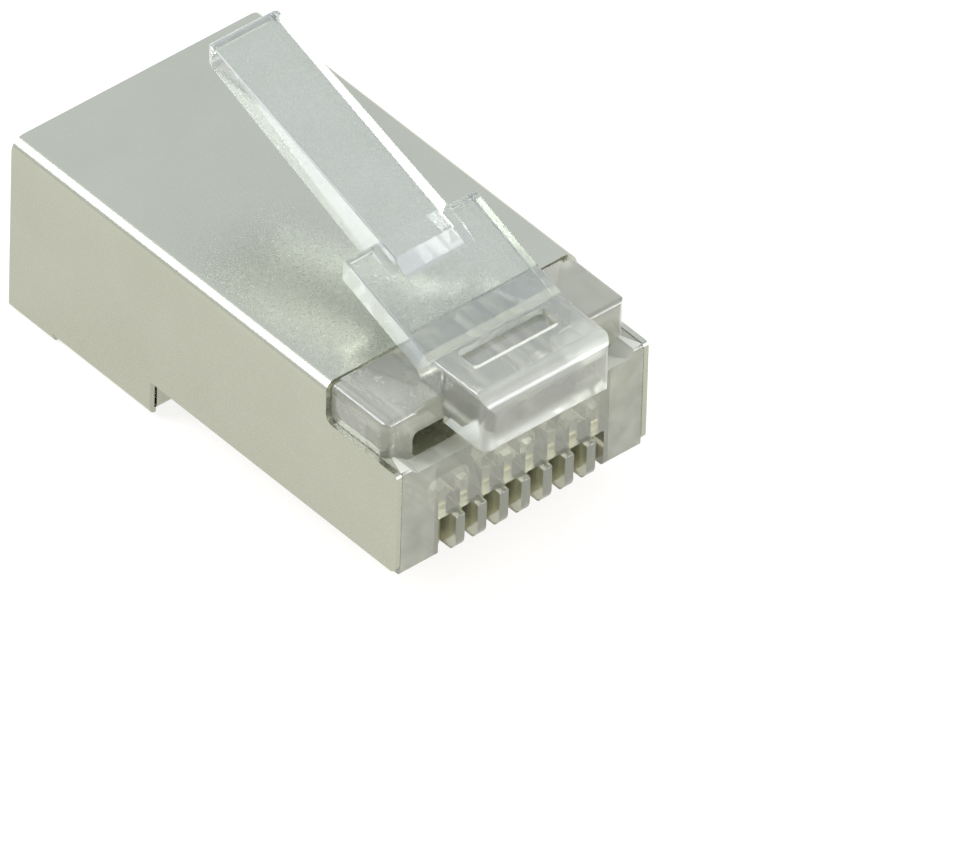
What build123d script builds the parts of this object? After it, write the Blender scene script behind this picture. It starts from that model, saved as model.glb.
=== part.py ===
from build123d import *
import os

# Shielded 8-position modular plug for round network cable.
# Built in a working frame: Y from the comb face (0) towards the cable end,
# Z from the lower front edge of the shield's sides (0) towards the latch, X across.
# At the end every piece is moved so that the origin is the middle of the box, at its bottom.

# ---------------------------------------------------------------- driving dimensions, mm
W = 11.70            # width over the shield
LEN = 21.28          # comb face to cable end
T = 0.22             # sheet thickness of the shield
GAP = 0.02           # shield to housing
TOP = 6.15           # shield top
R_FOLD = 0.55        # outer radius of the top folds
R_FOLD_B = 0.26      # outer radius of the bottom folds
COLLAR_B = -1.68     # underside of the cable-end collar
BELLY_B = -1.52      # underside of the shield between step and collar
COLLAR_Y = 18.80     # collar starts here
STEP_Y = 13.45       # the shield drops to its belly here
SHIELD_TOP_Y = 4.05  # front edge of the shield's top panel
SHIELD_CUT_Z = 4.52  # upper edge of the shield's sides in front of it
SEAM = 0.10          # butt seam along the belly
LIP_TOP = -0.24      # top of the turned-up front edge of the belly

HW = W / 2 - T - GAP         # half width of the moulding under the shield
CHEEK_HW = 5.60              # half width of the cheeks beside the nose
CHEEK_Y = 0.95               # front face of the cheeks
CHEEK_TOP = 6.08
COMB_B = -0.20               # underside of the pillars
LEDGE_Z = 4.50               # ledge on top of the comb wall
PITCH = 1.016                # contact pitch
N = 8
SLOT_W = 0.60                # open slots between the ribs
SLOT_TOP = 1.48
SLOT_END_Y = 5.95
RIB_B = -0.30                # underside of the ribs
RIB_Y0 = -0.25               # the ribs stand proud of the comb wall
RIB_TOP = 1.42
BLADE_T = 0.35
BLADE_FIT = 0.012            # blade to slot, each side
BLADE_Y0, BLADE_Y1 = 0.45, 5.40
BLADE_B = -0.55              # before crimping the blades stand proud of the ribs
BLADE_FRONT_TOP = 1.94
CRIMP = 0.60                 # crimp travel of the blades
LOW_ROW_Z, HIGH_ROW_Z = 2.45, 3.30   # wire rows
WIRE_D = 1.00

NOSE_HW = 2.95
NOSE_Y0 = -1.40
NOSE_B, NOSE_TOP = 4.90, 7.30
LATCH_HW = 3.05              # wide base of the latch
TAB_HW = 1.60                # finger tab of the latch
ROOT_A = (2.35, 6.42)        # root of the latch, underside
ROOT_B = (2.00, 7.42)        # root of the latch, top
ROOT_GAP = 0.03

WIN_X0, WIN_X1 = 2.36, 4.36  # window holes in the cheeks
WIN_Z0, WIN_Z1 = 4.00, 5.10

GUIDE_HW = 4.55
GUIDE_Y0, GUIDE_Y1 = 6.15, 11.65
GUIDE_Z0, GUIDE_Z1 = 1.58, 3.72
ARM_W, ARM_Z0, ARM_Z1 = 1.20, 2.10, 3.25
ARM_Y1 = 18.25
GUIDE_FIT = 0.05
CHAMBER_Y = 12.0             # cable chamber starts here
CHAMBER_Z0, CHAMBER_Z1 = -0.65, 5.20
FLOOR_Z, FLOOR_Y = 0.45, 14.30   # the chamber floor steps down behind the shield step
BODY_END = LEN - 0.35

YC = (NOSE_Y0 + LEN) / 2     # middle of the box
ZB = -COLLAR_B               # height of the working zero above the bottom

YZ = Plane(origin=(0, 0, 0), x_dir=(0, 1, 0), z_dir=(1, 0, 0))
XZ = Plane(origin=(0, 0, 0), x_dir=(1, 0, 0), z_dir=(0, -1, 0))


def face(pts, rounds=None):
    """Flat outline in local coordinates; rounds maps a corner's index to its radius."""
    f = make_face(Polyline(*[(p[0], p[1]) for p in pts], close=True))
    for i, r in (rounds or {}).items():
        v = f.vertices().sort_by_distance((pts[i][0], pts[i][1], 0))[0]
        f = fillet(v, r)
    return f


def along_x(pts, x0, x1, rounds=None):
    """Side profile (y, z) pushed across X."""
    return Pos(x0, 0, 0) * extrude(YZ * face(pts, rounds), x1 - x0, dir=(1, 0, 0))


def along_y(pts, y0, y1, rounds=None):
    """Front profile (x, z) pushed along Y."""
    return Pos(0, y0, 0) * extrude(XZ * face(pts, rounds), y1 - y0, dir=(0, 1, 0))


def along_z(pts, z0, z1, rounds=None):
    """Plan (x, y) pushed up Z."""
    return Pos(0, 0, z0) * extrude(face(pts, rounds), z1 - z0, dir=(0, 0, 1))


def box(x0, x1, y0, y1, z0, z1):
    return Pos((x0 + x1) / 2, (y0 + y1) / 2, (z0 + z1) / 2) * Box(x1 - x0, y1 - y0, z1 - z0)


def rect(a0, a1, b0, b1):
    return [(a0, b0), (a1, b0), (a1, b1), (a0, b1)]


def rod_y(x, z, r, y0, y1):
    return Pos(x, (y0 + y1) / 2, z) * Rot(90, 0, 0) * Cylinder(r, y1 - y0)


XS = [(i - (N - 1) / 2) * PITCH for i in range(N)]

# ---------------------------------------------------------------- shield: one folded sheet


def sleeve(y0, y1, zb):
    w = W / 2
    outer = along_y(rect(-w, w, zb, TOP), y0, y1, {0: R_FOLD_B, 1: R_FOLD_B, 2: R_FOLD, 3: R_FOLD})
    inner = along_y(
        rect(-w + T, w - T, zb + T, TOP - T), y0 - 1, y1 + 1,
        {0: R_FOLD_B - T, 1: R_FOLD_B - T, 2: R_FOLD - T, 3: R_FOLD - T},
    )
    return outer - inner


# sides and top, with the open underside in front of the step
upper = sleeve(0, STEP_Y, BELLY_B)
upper -= box(-7, 7, -1, STEP_Y + 0.001, -3, 0.0)
belly = sleeve(STEP_Y, COLLAR_Y, BELLY_B)
collar = sleeve(COLLAR_Y, LEN, COLLAR_B)
shield = upper + belly + collar
# the sides are cut back round the cheeks
shield -= along_x(
    [(-1, SHIELD_CUT_Z), (SHIELD_TOP_Y - 0.12, SHIELD_CUT_Z), (SHIELD_TOP_Y - 0.12, TOP - R_FOLD), (SHIELD_TOP_Y, TOP - 0.15), (SHIELD_TOP_Y, 8), (-1, 8)],
    -7, 7, {1: 0.40},
)
# rounded free corners of the sides: lower front, upper front
for zc, s, r in ((0.0, 1, 0.30), (SHIELD_CUT_Z, -1, 0.22)):
    corner = along_x([(-0.5, zc - s * 0.5), (r, zc - s * 0.5), (r, zc + s * r), (-0.5, zc + s * r)], -7, 7)
    corner -= Pos(0, r, zc + s * r) * Rot(0, 90, 0) * Cylinder(r, 20)
    shield -= corner
# the front edge of the belly turns up into the step
lip = along_x(
    [(STEP_Y - 0.04, LIP_TOP), (STEP_Y - 0.04, BELLY_B), (STEP_Y + 1.0, BELLY_B), (STEP_Y + 1.0, BELLY_B + T), (STEP_Y - 0.04 + T, BELLY_B + T), (STEP_Y - 0.04 + T, LIP_TOP)],
    -W / 2 + 0.30, W / 2 - 0.30, {1: 0.38, 4: 0.16},
)
shield -= box(-W / 2 + 0.30, W / 2 - 0.30, STEP_Y - 0.1, STEP_Y + 0.6, BELLY_B - 0.1, BELLY_B + T + 0.05)
shield += lip
shield -= box(-SEAM / 2, SEAM / 2, STEP_Y - 1, LEN + 1, COLLAR_B - 0.5, 0.05)

# ---------------------------------------------------------------- housing: one clear moulding
body_top = TOP - T - GAP
# inside the shield
core = along_y(rect(-HW, HW, COMB_B, body_top), 2.0, BODY_END, {2: R_FOLD - T - GAP, 3: R_FOLD - T - GAP})
rear = along_y(rect(-HW, HW, BELLY_B + T + GAP, 2.0), STEP_Y + T + 0.12, BODY_END, {0: 0.2, 1: 0.2})
# comb wall
comb = along_x([(0, COMB_B), (3.0, COMB_B), (3.0, LEDGE_Z), (0, LEDGE_Z)], -HW, HW, {0: 0.18, 3: 0.12})
comb &= along_y(rect(-HW, HW, COMB_B - 1, LEDGE_Z + 1), -1, 4)
# cheeks beside the nose, rounded at the front
cheek = along_z(rect(-CHEEK_HW, CHEEK_HW, CHEEK_Y, SHIELD_TOP_Y - 0.16), 3.5, CHEEK_TOP, {0: 0.40, 1: 0.40})
cheek += box(-5.15, 5.15, 3.0, SHIELD_TOP_Y - 0.03, 3.5, CHEEK_TOP)
cheek &= along_x([(CHEEK_Y, 3.5), (6, 3.5), (6, CHEEK_TOP), (CHEEK_Y, CHEEK_TOP)], -6, 6, {3: 0.26})
cheek &= along_y(rect(-CHEEK_HW, CHEEK_HW, 3.4, CHEEK_TOP), 0, 6, {2: 0.18, 3: 0.18})
# nose block that carries the latch
nose = along_x(
    [(NOSE_Y0, NOSE_B), (1.6, NOSE_B), (1.6, NOSE_TOP), (NOSE_Y0, NOSE_TOP)], -NOSE_HW, NOSE_HW, {0: 0.16, 3: 0.85}
)
nose &= along_z(rect(-NOSE_HW, NOSE_HW, NOSE_Y0, 3), 4, 8, {0: 0.50, 1: 0.50})
nose &= along_y(rect(-NOSE_HW, NOSE_HW, 4, NOSE_TOP), -3, 3, {2: 0.16, 3: 0.16})
web = box(-2.0, 2.0, 0.30, CHEEK_Y + 0.4, LEDGE_Z - 0.2, NOSE_B + 0.2)
# root of the latch, up to the line where it flexes
root = along_x(
    [(1.0, 5.8), (2.12, 5.8), (2.12, 6.30), (ROOT_A[0] - ROOT_GAP, ROOT_A[1]), (ROOT_B[0] - ROOT_GAP, ROOT_B[1]), (1.68, NOSE_TOP - 0.05), (1.0, NOSE_TOP - 0.05)],
    -LATCH_HW, LATCH_HW, {2: 0.12},
)
housing = core + rear + comb + cheek + nose + web + root

# shallow plain pocket on top of the nose
housing -= along_z(rect(-2.0, 2.0, 0.42, 1.44), NOSE_TOP - 0.30, NOSE_TOP + 1, {0: 0.2, 1: 0.2, 2: 0.2, 3: 0.2})
# the ledge falls away in front of the windows, and the windows run through to the cable chamber
for s in (-1, 1):
    a = [(s * 5.25, LEDGE_Z), (s * 4.55, 4.00), (s * 2.0, 3.90), (s * 2.0, NOSE_B), (s * 5.25, NOSE_B)]
    x0, x1 = sorted((s * 2.0, s * 5.25))
    scoop = along_y(a, -0.5, CHEEK_Y, {0: 0.4, 1: 0.3})
    scoop &= along_x([(-0.5, WIN_Z0 + 0.36), (CHEEK_Y, WIN_Z0), (CHEEK_Y, NOSE_B + 0.1), (-0.5, NOSE_B + 0.1)], x0, x1)
    housing -= scoop
    w0, w1 = sorted((s * WIN_X0, s * WIN_X1))
    housing -= along_y(rect(w0, w1, WIN_Z0, WIN_Z1), CHEEK_Y - 0.02, CHAMBER_Y + 0.1, {0: 0.28, 1: 0.28, 2: 0.28, 3: 0.28})

# open slots of the comb, with the ribs left standing between them
for x in XS:
    housing -= along_y(rect(x - SLOT_W / 2, x + SLOT_W / 2, COMB_B - 1, SLOT_TOP), -1, SLOT_END_Y, {2: 0.08, 3: 0.08})
rib_x = [(a + b) / 2 for a, b in zip(XS[:-1], XS[1:])]
rw = (PITCH - SLOT_W) / 2
for x in rib_x:
    rib = along_x([(RIB_Y0, RIB_B), (SLOT_END_Y + 0.2, RIB_B), (SLOT_END_Y + 0.2, RIB_TOP), (RIB_Y0, RIB_TOP)], x - rw, x + rw, {0: 0.60, 3: 0.06})
    rib &= along_y(rect(x - rw, x + rw, RIB_B, 3), -1, 8, {0: 0.15, 1: 0.15})
    housing += rib
# blade slots above the comb
for i, x in enumerate(XS):
    h = BLADE_T / 2 + BLADE_FIT
    top = (HIGH_ROW_Z if i in (2, 5) else LOW_ROW_Z) + 0.1
    housing -= box(x - h, x + h, BLADE_Y0 - 0.03, BLADE_Y1 + 0.03, SLOT_TOP - 0.3, BLADE_FRONT_TOP + CRIMP + 0.05)
    housing -= box(x - h, x + h, 1.62, BLADE_Y1 + 0.03, SLOT_TOP - 0.3, top)
# wire channels: three pairs in the lower row, the split pair above
for x in (-3 * PITCH, 0, 3 * PITCH):
    a = PITCH / 2 + WIRE_D / 2 - 0.02
    housing -= along_y(rect(x - a, x + a, LOW_ROW_Z - WIRE_D / 2, LOW_ROW_Z + WIRE_D / 2), 1.10, 6.5, {0: 0.46, 1: 0.46, 2: 0.46, 3: 0.46})
for x in (XS[2], XS[5]):
    housing -= rod_y(x, HIGH_ROW_Z, WIRE_D / 2, 1.10, 6.5)
# guide seat and cable chamber, open at the cable end
g = GUIDE_HW + GUIDE_FIT
housing -= along_y(rect(-g, g, GUIDE_Z0 - GUIDE_FIT, GUIDE_Z1 + GUIDE_FIT), GUIDE_Y0 - 0.03, CHAMBER_Y + 0.5)
housing -= along_y(rect(-g, g, FLOOR_Z, CHAMBER_Z1), CHAMBER_Y, LEN + 1, {2: 0.9, 3: 0.9})
housing -= along_y(rect(-g, g, CHAMBER_Z0, CHAMBER_Z1), FLOOR_Y, LEN + 1, {0: 0.6, 1: 0.6, 2: 0.9, 3: 0.9})

# ---------------------------------------------------------------- latch: springs from the nose
base_side = [ROOT_A, (6.62, 7.96), (6.32, 8.95), ROOT_B]
up = along_x(base_side, -LATCH_HW, LATCH_HW)
# softened long edges, then the rounded shoulders
up = fillet([e for e in up.edges() if e.length > 3.5 and abs(e.center().X) > LATCH_HW - 0.01], 0.08)
up &= along_x(base_side, -4, 4, {1: 0.10, 2: 0.12})
up &= along_z(rect(-LATCH_HW, LATCH_HW, 1, 6.70), 5, 11, {2: 0.35, 3: 0.35})
tab_side = [(4.15, 7.91), (5.27, 8.94), (15.80, 12.13), (15.85, 11.22), (6.95, 7.80), (5.45, 7.56), (4.6, 7.5)]
tab = along_x(tab_side, -TAB_HW, TAB_HW)
tab = fillet([e for e in tab.edges() if e.length > 10.5], 0.12)
tab = fillet([e for e in tab.edges() if 9 < e.length < 10 and abs(e.center().X) > TAB_HW - 0.01], 0.10)
tab &= along_x(tab_side, -4, 4, {2: 0.38, 3: 0.25})
tab &= along_z([(-TAB_HW, 4), (TAB_HW, 4), (TAB_HW - 0.04, 15.84), (-TAB_HW + 0.04, 15.84)], 5, 14, {2: 0.42, 3: 0.42})
latch = up + tab

# ---------------------------------------------------------------- contacts: eight stamped blades
def blade(i):
    tall = i in (2, 5)
    tip = (HIGH_ROW_Z if tall else LOW_ROW_Z) - WIRE_D / 2 - 0.03
    neck = tip - 0.85
    y0, y1 = BLADE_Y0, BLADE_Y1
    ft = BLADE_FRONT_TOP
    pts = [
        (y0, BLADE_B), (y1 - 0.15, BLADE_B), (y1, BLADE_B + 0.35), (y1, neck), (4.95, tip), (4.55, neck),
        (4.10, min(neck, 1.05)), (3.65, neck), (3.35, tip), (3.05, neck), (2.75, min(neck, 1.05)),
        (2.35, neck), (2.05, tip), (1.72, neck), (1.45, min(ft, neck)), (1.30, ft), (y0, ft),
    ]
    if abs(neck - min(neck, 1.05)) < 1e-6:
        pts = [p for k, p in enumerate(pts) if k not in (6, 10)]
    if ft <= neck + 1e-6:
        pts = [p for p in pts if p != (1.45, min(ft, neck))]
    b = along_x(pts, -BLADE_T / 2, BLADE_T / 2, {0: 0.60, len(pts) - 1: 0.12})
    return Pos(XS[i], 0, 0) * b


# ---------------------------------------------------------------- wire guide: moulded comb with two arms
guide = along_y(rect(-GUIDE_HW, GUIDE_HW, GUIDE_Z0, GUIDE_Z1), GUIDE_Y0, GUIDE_Y1, {2: 0.35, 3: 0.35})
for x in (-3 * PITCH, 0, 3 * PITCH):
    guide -= rod_y(x, GUIDE_Z0, 1.22, GUIDE_Y0 - 1, GUIDE_Y1 + 1)
for x in (XS[2], XS[5]):
    guide -= rod_y(x, GUIDE_Z1 + 0.05, 0.58, GUIDE_Y0 - 1, GUIDE_Y1 + 1)
for x0, x1, y0, y1 in ((-3.85, -2.45, 7.4, 10.6), (2.45, 3.85, 7.4, 10.6), (-0.62, 0.62, 7.4, 10.6)):
    guide -= along_z(rect(x0, x1, y0, y1), GUIDE_Z1 - 0.45, GUIDE_Z1 + 1, {0: 0.15, 1: 0.15, 2: 0.15, 3: 0.15})
for s in (-1, 1):
    x0, x1 = sorted((s * GUIDE_HW, s * (GUIDE_HW - ARM_W)))
    arm = along_x(
        [(GUIDE_Y1 - 0.8, ARM_Z0), (ARM_Y1 - 0.35, ARM_Z0), (ARM_Y1, ARM_Z0 + 0.3), (ARM_Y1, ARM_Z1 - 0.35), (ARM_Y1 - 0.4, ARM_Z1), (GUIDE_Y1 - 0.8, ARM_Z1)],
        x0, x1, {2: 0.1, 3: 0.1},
    )
    arm &= along_y(rect(x0, x1, ARM_Z0, ARM_Z1), 5, 20, {0: 0.15, 1: 0.15, 2: 0.15, 3: 0.15})
    guide += arm

# ---------------------------------------------------------------- write the pieces
pieces = {"housing": housing, "latch_tab": latch, "shield": shield, "wire_guide": guide}
for i in range(N):
    pieces[f"contact_{i + 1}"] = blade(i)

os.makedirs("parts", exist_ok=True)
for name, solid in pieces.items():
    placed = Pos(0, -YC, ZB) * solid
    n = len(placed.solids())
    bb = placed.bounding_box()
    print(f"{name:12s} solids {n} volume {placed.volume:8.3f} mm3  "
          f"X {bb.min.X:7.3f} {bb.max.X:7.3f}  Y {bb.min.Y:7.3f} {bb.max.Y:7.3f}  Z {bb.min.Z:7.3f} {bb.max.Z:7.3f}")
    out = placed.solids()[0] if n == 1 else placed
    export_step(out, f"parts/{name}.step")
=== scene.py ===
import math
import bpy
import bmesh
import numpy as np
from mathutils import Matrix, Vector
from mathutils.bvhtree import BVHTree


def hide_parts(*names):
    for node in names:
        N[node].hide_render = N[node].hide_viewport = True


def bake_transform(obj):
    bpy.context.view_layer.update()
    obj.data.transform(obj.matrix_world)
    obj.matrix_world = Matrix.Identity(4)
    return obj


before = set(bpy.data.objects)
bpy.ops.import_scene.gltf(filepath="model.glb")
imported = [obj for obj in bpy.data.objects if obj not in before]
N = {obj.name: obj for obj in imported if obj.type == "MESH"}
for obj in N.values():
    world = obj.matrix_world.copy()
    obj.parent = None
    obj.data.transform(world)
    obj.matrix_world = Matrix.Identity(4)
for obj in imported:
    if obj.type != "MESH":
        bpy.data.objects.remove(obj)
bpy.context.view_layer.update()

scene = bpy.context.scene
MM = 0.001
YC, ZB = 9.94, 1.68          # comb face to the middle of the box, collar underside to the sides' lower edge, mm


def P(x, y, z):
    """A point given in mm from the comb face, on the lower front edge of the sides, in the row frame."""
    return Vector((x * MM, (y - YC) * MM, (z + ZB) * MM))


# ------------------------------------------------------------------ materials
def material(name):
    m = bpy.data.materials.new(name)
    m.use_nodes = True
    t = m.node_tree
    t.nodes.clear()
    out = t.nodes.new("ShaderNodeOutputMaterial")
    b = t.nodes.new("ShaderNodeBsdfPrincipled")
    t.links.new(b.outputs[0], out.inputs[0])
    co = t.nodes.new("ShaderNodeTexCoord")
    return m, t, b, co


def noise(t, co, scale, detail=3.0, rough=0.55, stretch=(1, 1, 1), seed=0.0):
    """Noise in the piece's own space; scale is in features per mm."""
    mp = t.nodes.new("ShaderNodeMapping")
    mp.inputs["Scale"].default_value = tuple(1000.0 * scale * s for s in stretch)
    mp.inputs["Location"].default_value = (seed, seed * 0.7, seed * 1.3)
    t.links.new(co.outputs["Object"], mp.inputs["Vector"])
    n = t.nodes.new("ShaderNodeTexNoise")
    n.inputs["Scale"].default_value = 1.0
    n.inputs["Detail"].default_value = detail
    n.inputs["Roughness"].default_value = rough
    t.links.new(mp.outputs[0], n.inputs["Vector"])
    return n.outputs["Fac"]


def ranged(t, fac, lo, hi, a=0.3, b=0.7):
    r = t.nodes.new("ShaderNodeMapRange")
    r.inputs["From Min"].default_value = a
    r.inputs["From Max"].default_value = b
    r.inputs["To Min"].default_value = lo
    r.inputs["To Max"].default_value = hi
    t.links.new(fac, r.inputs["Value"])
    return r.outputs["Result"]


def two_tone(t, fac, c0, c1, a=0.3, b=0.7):
    r = t.nodes.new("ShaderNodeValToRGB")
    r.color_ramp.elements[0].position = a
    r.color_ramp.elements[1].position = b
    r.color_ramp.elements[0].color = (*c0, 1)
    r.color_ramp.elements[1].color = (*c1, 1)
    t.links.new(fac, r.inputs["Fac"])
    return r.outputs["Color"]


def bump(t, height, strength, distance_mm, normal=None):
    b = t.nodes.new("ShaderNodeBump")
    b.inputs["Strength"].default_value = strength
    b.inputs["Distance"].default_value = distance_mm * MM
    t.links.new(height, b.inputs["Height"])
    if normal is not None:
        t.links.new(normal, b.inputs["Normal"])
    return b.outputs["Normal"]


def clear_plastic(name, c0, c1, r0, r1, ior, clear, coat, wave, satin=0.04, flow=0.45):
    """Moulded clear plastic: slightly hazy, faint flow marks, uneven polish."""
    m, t, b, co = material(name)
    big = noise(t, co, flow, 2.0, 0.5)
    fine = noise(t, co, 3.0, 3.0, 0.6, seed=4.0)
    t.links.new(two_tone(t, big, c0, c1), b.inputs["Base Color"])
    t.links.new(ranged(t, fine, r0, r1), b.inputs["Roughness"])
    t.links.new(bump(t, big, 1.0, wave), b.inputs["Normal"])
    b.inputs["Transmission Weight"].default_value = clear
    b.inputs["IOR"].default_value = ior
    b.inputs["Coat Weight"].default_value = coat
    b.inputs["Coat Roughness"].default_value = satin
    return m


def hazy_round_painted_highlight(m, direction, clear, haze):
    """More haze, so a paler skin, where the skin turns over a rounded edge that faces direction: a painted highlight
    on that edge.
    """
    t = m.node_tree
    b = next(n for n in t.nodes if n.type == "BSDF_PRINCIPLED")
    co = t.nodes.new("ShaderNodeTexCoord")
    d = t.nodes.new("ShaderNodeVectorMath")
    d.operation = "DOT_PRODUCT"
    d.inputs[1].default_value = direction
    t.links.new(co.outputs["Normal"], d.inputs[0])
    r = t.nodes.new("ShaderNodeMapRange")
    r.interpolation_type = "SMOOTHSTEP"
    r.inputs["From Min"].default_value = 0.70
    r.inputs["From Max"].default_value = 0.97
    r.inputs["To Min"].default_value = clear
    r.inputs["To Max"].default_value = haze
    t.links.new(d.outputs["Value"], r.inputs["Value"])
    t.links.new(r.outputs["Result"], b.inputs["Transmission Weight"])


def plated_sheet(name, c0, c1, r0, r1):
    """Satin plated sheet: fine pitted grain, faint rolling lines, cloudy tone."""
    m, t, b, co = material(name)
    cloud = noise(t, co, 0.30, 3.0, 0.6)
    grain = noise(t, co, 9.0, 3.0, 0.65, seed=2.0)
    lines = noise(t, co, 6.0, 2.0, 0.5, stretch=(1.0, 0.06, 1.0), seed=7.0)
    t.links.new(two_tone(t, cloud, c0, c1), b.inputs["Base Color"])
    t.links.new(ranged(t, grain, r0, r1), b.inputs["Roughness"])
    n = bump(t, grain, 0.007, 0.006)
    n = bump(t, lines, 0.010, 0.006, n)
    t.links.new(n, b.inputs["Normal"])
    b.inputs["Metallic"].default_value = 1.0
    return m


def plated_contact_painted_shade(name):
    m, t, b, co = material(name)
    cloud = noise(t, co, 1.2, 3.0, 0.6)
    lines = noise(t, co, 10.0, 2.0, 0.5, stretch=(1.0, 1.0, 0.15), seed=3.0)
    # painted shade: the gold plate is darkened to olive for the shade in the slots
    t.links.new(two_tone(t, cloud, (0.36, 0.34, 0.20), (0.44, 0.41, 0.26)), b.inputs["Base Color"])
    t.links.new(ranged(t, lines, 0.28, 0.42), b.inputs["Roughness"])
    t.links.new(bump(t, lines, 0.2, 0.006), b.inputs["Normal"])
    b.inputs["Metallic"].default_value = 1.0
    return m


M_BODY = clear_plastic("clear_body", (0.87, 0.88, 0.74), (0.93, 0.935, 0.81), 0.07, 0.12, 1.585, 0.75, 0.3, 0.006)
M_COMB = clear_plastic("clear_comb", (0.84, 0.855, 0.70), (0.90, 0.915, 0.77), 0.03, 0.06, 1.585, 0.85, 0.3, 0.004)
# painted shade and light: a darker mottled copy for the fronts of the pillars
M_PILLAR_PAINTED_SHADE_AND_LIGHT = clear_plastic("clear_pillar_painted_shade_and_light", (0.62, 0.635, 0.51), (0.84, 0.855, 0.715), 0.08, 0.18, 1.585, 0.70, 0.3, 0.008, 0.06, 1.3)
M_LEDGE = clear_plastic("clear_ledge", (0.86, 0.87, 0.76), (0.91, 0.92, 0.81), 0.12, 0.20, 1.585, 0.38, 0.3, 0.006)
M_NOSE_PAINTED_HIGHLIGHT = clear_plastic("clear_nose_painted_highlight", (0.87, 0.89, 0.775), (0.92, 0.935, 0.825), 0.12, 0.18, 1.585, 0.77, 0.3, 0.006, 0.10)
# painted highlight: the nose's rounded front edge is made hazier and so paler
hazy_round_painted_highlight(M_NOSE_PAINTED_HIGHLIGHT, (0.0, -0.69, 0.72), 0.80, 0.63)
# painted reflection and shade: dark olive for the blades seen in the sides of the ribs
M_RIB_PAINTED_SHADE_AND_REFLECTION = clear_plastic("clear_rib_painted_shade_and_reflection", (0.52, 0.53, 0.39), (0.62, 0.63, 0.48), 0.08, 0.14, 1.585, 0.70, 0.2, 0.004)
# painted shade: dark olive for the window tunnels lying in the shade of the shield
M_WINDOW_PAINTED_SHADE = clear_plastic("clear_window_painted_shade", (0.20, 0.20, 0.13), (0.30, 0.30, 0.20), 0.20, 0.30, 1.585, 0.35, 0.0, 0.004)
M_LATCH = clear_plastic("clear_latch", (0.80, 0.83, 0.785), (0.855, 0.88, 0.84), 0.03, 0.07, 1.585, 0.90, 0.2, 0.003)
# painted shade: a darker copy of the latch plastic for the tip and flanks facing the key lamp
M_EDGE_PAINTED_SHADE = clear_plastic("clear_latch_edge_painted_shade", (0.52, 0.545, 0.51), (0.58, 0.605, 0.57), 0.05, 0.09, 1.585, 0.66, 0.2, 0.003)
# painted shade: a darker copy of the latch plastic for the step face under the front lamp
M_STEP_PAINTED_SHADE = clear_plastic("clear_step_painted_shade", (0.46, 0.49, 0.47), (0.54, 0.57, 0.55), 0.05, 0.10, 1.585, 0.80, 0.2, 0.003)
# painted shade: dark colour for the pillars' undersides
M_UNDERSIDE_PAINTED_SHADE = clear_plastic("clear_underside_painted_shade", (0.34, 0.345, 0.25), (0.46, 0.465, 0.35), 0.15, 0.25, 1.585, 0.50, 0.2, 0.004)
# painted shade: a darker copy of the clear plastic for the cheeks
M_CHEEK_PAINTED_SHADE = clear_plastic("clear_cheek_painted_shade", (0.68, 0.69, 0.56), (0.78, 0.79, 0.66), 0.07, 0.12, 1.585, 0.76, 0.3, 0.006, 0.04, 0.9)
M_GUIDE = clear_plastic("clear_guide", (0.86, 0.90, 0.86), (0.92, 0.95, 0.92), 0.10, 0.18, 1.50, 0.75, 0.3, 0.006)
M_SHIELD = plated_sheet("shield_sheet", (0.424, 0.435, 0.352), (0.446, 0.457, 0.373), 0.26, 0.30)
M_CONTACT_PAINTED_SHADE = plated_contact_painted_shade("contact_plate")


def dress(o, *ms):
    o.data.materials.clear()
    for m in ms:
        o.data.materials.append(m)


# ------------------------------------------------------------------ clear moulding: body and latch in one
# The latch grows out of the nose, so the two are one closed skin here, with extra cuts across the latch near its root.
ROOT_A, ROOT_B = P(0, 2.35, 6.42), P(0, 2.00, 7.42)
ROOT_N = Vector((0, (ROOT_B - ROOT_A).z, -(ROOT_B - ROOT_A).y)).normalized()
ARM = (P(0, 6.62, 7.96) - ROOT_A).normalized()
PILLAR_X = 4.06                 # inner side of the pillars beside the comb, mm


def arm_length(p):
    return (p - ROOT_A).dot(ARM)


def is_latch(p):
    return p.z > P(0, 0, 6.2).z and arm_length(p) > -0.02 * MM and (p - ROOT_A).dot(ROOT_N) > -0.02 * MM


def skin(node):
    bm = bmesh.new()
    bm.from_mesh(N[node].data)
    bmesh.ops.remove_doubles(bm, verts=bm.verts, dist=2e-7)
    return bm


def placed(bm, name):
    me = bpy.data.meshes.new(name)
    bm.to_mesh(me)
    bm.free()
    o = bpy.data.objects.new(name, me)
    scene.collection.objects.link(o)
    return o


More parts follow.
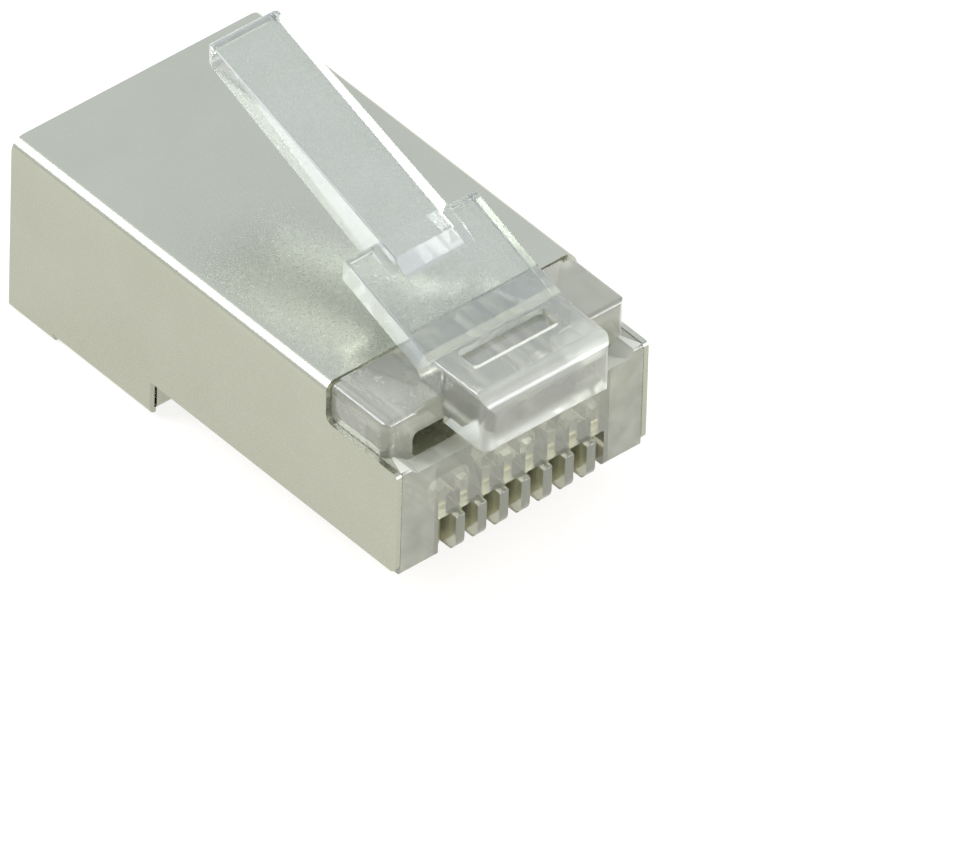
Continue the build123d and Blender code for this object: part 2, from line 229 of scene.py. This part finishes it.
def clear_moulding():
    bl = skin("latch_tab")
    middle = (ROOT_A + ROOT_B) / 2
    for v in bl.verts:
        if abs((v.co - ROOT_A).dot(ROOT_N)) < 2e-6:
            v.co = middle + (v.co - middle) * 0.998 + Vector((0, -0.05 * MM, 0))
    for d in (0.15, 0.35, 0.6, 0.9, 1.2, 1.5, 1.85):
        bmesh.ops.bisect_plane(
            bl, geom=bl.verts[:] + bl.edges[:] + bl.faces[:], dist=1e-8, plane_co=ROOT_A + ARM * d * MM, plane_no=ARM
        )
    # the comb wall is divided where the pillars begin
    bh = skin("housing")
    for x in (-PILLAR_X, PILLAR_X):
        wall = [f for f in bh.faces if f.normal.y < -0.9 and f.calc_center_median().y < P(0, 0.1, 0).y
                and f.calc_center_median().z < P(0, 0, 4.6).z]
        part = set(wall) | {e for f in wall for e in f.edges} | {v for f in wall for v in f.verts}
        bmesh.ops.bisect_plane(bh, geom=list(part), dist=1e-8, plane_co=P(x, 0, 0), plane_no=(1, 0, 0))
    whole, spring = placed(bh, "clear_moulding"), placed(bl, "spring")
    mod = whole.modifiers.new("join", "BOOLEAN")
    mod.operation, mod.solver, mod.object = "UNION", "EXACT", spring
    dg = bpy.context.evaluated_depsgraph_get()
    me = bpy.data.meshes.new_from_object(whole.evaluated_get(dg))
    whole.modifiers.clear()
    old = whole.data
    whole.data = me
    me.name = "clear_moulding"
    bpy.data.meshes.remove(old)
    used = spring.data
    bpy.data.objects.remove(spring)
    bpy.data.meshes.remove(used)
    # the smooth normals of the two nodes are carried over to the joined skin
    tris, norms, pts = [], [], []
    for n in ("housing", "latch_tab"):
        src = N[n].data
        base = len(pts)
        pts += [v.co.copy() for v in src.vertices]
        cn = src.corner_normals
        for p in src.polygons:
            tris.append([base + i for i in p.vertices])
            norms.append([Vector(cn[i].vector) for i in p.loop_indices])
    tree = BVHTree.FromPolygons(pts, tris)
    flat = [(pts[b] - pts[a]).cross(pts[c] - pts[a]).normalized() for a, b, c in tris]
    out = [None] * len(me.loops)
    for p in me.polygons:
        p.use_smooth = True
        best, score = None, 0.97
        for _, _, i, _ in tree.find_nearest_range(p.center, 4e-6):
            s = flat[i].dot(p.normal)
            if s > score:
                best, score = i, s
        for li in p.loop_indices:
            if best is None:
                out[li] = p.normal.copy()
                continue
            a, b, c = (pts[k] for k in tris[best])
            q = me.vertices[me.loops[li].vertex_index].co
            v0, v1, v2 = b - a, c - a, q - a
            d00, d01, d11, d20, d21 = v0.dot(v0), v0.dot(v1), v1.dot(v1), v2.dot(v0), v2.dot(v1)
            den = d00 * d11 - d01 * d01
            if abs(den) < 1e-30:
                out[li] = p.normal.copy()
                continue
            vb = min(max((d11 * d20 - d01 * d21) / den, -0.5), 1.5)
            vc = min(max((d00 * d21 - d01 * d20) / den, -0.5), 1.5)
            na, nb, nc = norms[best]
            out[li] = (na * (1 - vb - vc) + nb * vb + nc * vc).normalized()
    me.normals_split_custom_set([tuple(v) for v in out])
    dress(whole, M_BODY, M_LATCH, M_EDGE_PAINTED_SHADE, M_NOSE_PAINTED_HIGHLIGHT, M_RIB_PAINTED_SHADE_AND_REFLECTION, M_WINDOW_PAINTED_SHADE, M_COMB, M_LEDGE, M_PILLAR_PAINTED_SHADE_AND_LIGHT, M_STEP_PAINTED_SHADE, M_UNDERSIDE_PAINTED_SHADE, M_CHEEK_PAINTED_SHADE)
    flat_way = Vector((0, -ARM.z, ARM.y))
    for p in me.polygons:
        x, y, z = abs(p.center.x) / MM, p.center.y / MM + YC, p.center.z / MM - ZB
        if is_latch(p.center):
            tip = y > 15.2 and abs(p.normal.dot(flat_way)) < 0.93
            flank = p.normal.x < -0.05 or (p.normal.x > 0.5 and x > 2.9)
            step = x < 1.62 and 4.0 < y < 5.4 and z > 7.8 and p.normal.y < -0.4
            p.material_index = 9 if step else 2 if tip or flank else 1   # darker copies with painted shade on the step face and on the tip and flanks, polished faces elsewhere
        elif 2.30 < x < 4.42 and 1.0 < y < 12.2 and 3.97 < z < 5.13:
            p.material_index = 5                                  # painted shade: the windows' tunnel walls are coloured dark olive for the shade of the shield they run into
        elif x > 3.5 and y < 7.0 and z < 0.1 and p.normal.z < -0.7:
            p.material_index = 10                                 # painted shade: the pillars' undersides are coloured dark for the shade they lie in
        elif x < 4.2 and y < 6.3 and z < 1.6 and abs(p.normal.x) > 0.7:
            p.material_index = 4                                  # painted reflection and shade: the sides of the ribs are coloured dark olive for the blades seen in them
        elif x < 3.1 and y < 1.9 and z > 4.8:
            p.material_index = 3
        elif p.center.x < -4.4 * MM and y < 3.6 and z > 4.2 and p.normal.x < -0.5:
            p.material_index = 11                                 # left cheek's side: painted shade, coloured darker for the sheet beside it
        elif p.center.x > 3.1 * MM and y < 3.6 and z > 5.6 and p.normal.z > 0.7:
            p.material_index = 11                                 # right cheek's top: painted shade, coloured darker
        elif x < 5.4 and y < 1.1 and 3.8 < z < 4.7 and p.normal.z > 0.5:
            p.material_index = 7                                  # the satin ledge in front of the windows
        elif x > PILLAR_X and y < 1.1 and z < 4.6:
            p.material_index = 8                                  # painted shade and light: the fronts of the pillars are mottled darker for the inner parts seen through them
        elif y < 1.1 and z < 4.6:
            p.material_index = 6
        else:
            p.material_index = 0
    return whole


moulding = clear_moulding()
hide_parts("housing", "latch_tab")
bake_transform(moulding)

dress(N["wire_guide"], M_GUIDE)
dress(N["shield"], M_SHIELD)
for i in range(8):
    dress(N[f"contact_{i + 1}"], M_CONTACT_PAINTED_SHADE)

# ------------------------------------------------------------------ floor
fm, ft, fb, fco = material("floor")
fb.inputs["Roughness"].default_value = 0.9
fb.inputs["Base Color"].default_value = (0.27, 0.25, 0.22, 1)
fb.inputs["Emission Color"].default_value = (1, 1, 1, 1)
fb.inputs["Emission Strength"].default_value = 0.80
mesh = bpy.data.meshes.new("floor")
s = 3.0
mesh.from_pydata([(-s, -s, -2e-5), (s, -s, -2e-5), (s, s, -2e-5), (-s, s, -2e-5)], [], [(0, 1, 2, 3)])
floor = bpy.data.objects.new("floor", mesh)
scene.collection.objects.link(floor)
mesh.materials.append(fm)


# ------------------------------------------------------------------ light
def direction(az, el):
    """Towards azimuth az (0 is in front, 90 to the right) and elevation el."""
    a, e = math.radians(az), math.radians(el)
    return Vector((math.sin(a) * math.cos(e), -math.cos(a) * math.cos(e), math.sin(e)))


w = bpy.data.worlds.new("studio")
scene.world = w
w.use_nodes = True
wt = w.node_tree
bg = wt.nodes["Background"]
bg.inputs["Color"].default_value = (0.93, 0.97, 1.04, 1)
bg.inputs["Strength"].default_value = 0.88
wco = wt.nodes.new("ShaderNodeTexCoord")
wout = wt.nodes["World Output"]
sky = bg.outputs[0]


def glow(sky, az, el, color, strength, inner, outer):
    """A soft-edged bright area of the studio's surroundings."""
    dot = wt.nodes.new("ShaderNodeVectorMath")
    dot.operation = "DOT_PRODUCT"
    wt.links.new(wco.outputs["Generated"], dot.inputs[0])
    dot.inputs[1].default_value = direction(az, el)
    r = wt.nodes.new("ShaderNodeMapRange")
    r.interpolation_type = "SMOOTHSTEP"
    r.inputs["From Min"].default_value = math.cos(math.radians(outer))
    r.inputs["From Max"].default_value = math.cos(math.radians(inner))
    r.inputs["To Min"].default_value = 0.0
    r.inputs["To Max"].default_value = strength
    wt.links.new(dot.outputs["Value"], r.inputs["Value"])
    b = wt.nodes.new("ShaderNodeBackground")
    b.inputs["Color"].default_value = (*color, 1)
    wt.links.new(r.outputs["Result"], b.inputs["Strength"])
    add = wt.nodes.new("ShaderNodeAddShader")
    wt.links.new(sky, add.inputs[0])
    wt.links.new(b.outputs[0], add.inputs[1])
    return add.outputs[0]


sky = glow(sky, 138, 41, (0.85, 0.86, 1.1), 0.36, 15, 50)
sky = glow(sky, 36, 30, (1.0, 1.0, 1.0), 1.8, 5, 26)
wt.links.new(sky, wout.inputs["Surface"])


def softbox(name, az, el, dist, size, radiance, color=(1, 1, 1)):
    """A soft lamp aimed at the plug."""
    l = bpy.data.lights.new(name, "AREA")
    l.shape = "RECTANGLE"
    l.size, l.size_y = size
    l.energy = radiance * math.pi * size[0] * size[1]
    l.color = color
    o = bpy.data.objects.new(name, l)
    d = direction(az, el)
    o.location = Vector((0, 0, 0.005)) + d * dist
    o.rotation_mode = "QUATERNION"
    o.rotation_quaternion = d.to_track_quat("Z", "Y")
    scene.collection.objects.link(o)
    return o


softbox("key", -135, 42, 0.9, (0.42, 0.56), 7.0, (0.98, 1.0, 1.06))
softbox("front", 33, 19, 0.9, (0.32, 0.24), 6.0, (0.98, 0.98, 1.04))

# ------------------------------------------------------------------ camera
AZ, EL, ROLL = -41.681, 40.596, 1.760
F_PX, DIST, OX, OY = 29982.27, 1065.93, 5.2312, -5.2628
back = direction(AZ, EL)
right = Vector((0, 0, 1)).cross(back).normalized()
up = back.cross(right)
cr, sr = math.cos(math.radians(ROLL)), math.sin(math.radians(ROLL))
right, up = cr * right + sr * up, -sr * right + cr * up
eye = P(0, 10, 4) + (back * DIST + right * OX + up * OY) * MM
cam = bpy.data.cameras.new("camera")
cam.sensor_fit = "HORIZONTAL"
cam.sensor_width = 36.0
cam.lens = F_PX / 975.0 * 36.0
cam.clip_start, cam.clip_end = 0.05, 20.0
camera = bpy.data.objects.new("camera", cam)
camera.matrix_world = Matrix((
    (right.x, up.x, back.x, eye.x),
    (right.y, up.y, back.y, eye.y),
    (right.z, up.z, back.z, eye.z),
    (0, 0, 0, 1),
))
scene.collection.objects.link(camera)
scene.camera = camera
# light has to run along the clear latch and out again
scene.cycles.max_bounces = 40
scene.cycles.glossy_bounces = 32
scene.cycles.transmission_bounces = 40
scene.view_settings.view_transform = "Standard"
scene.view_settings.look = "None"
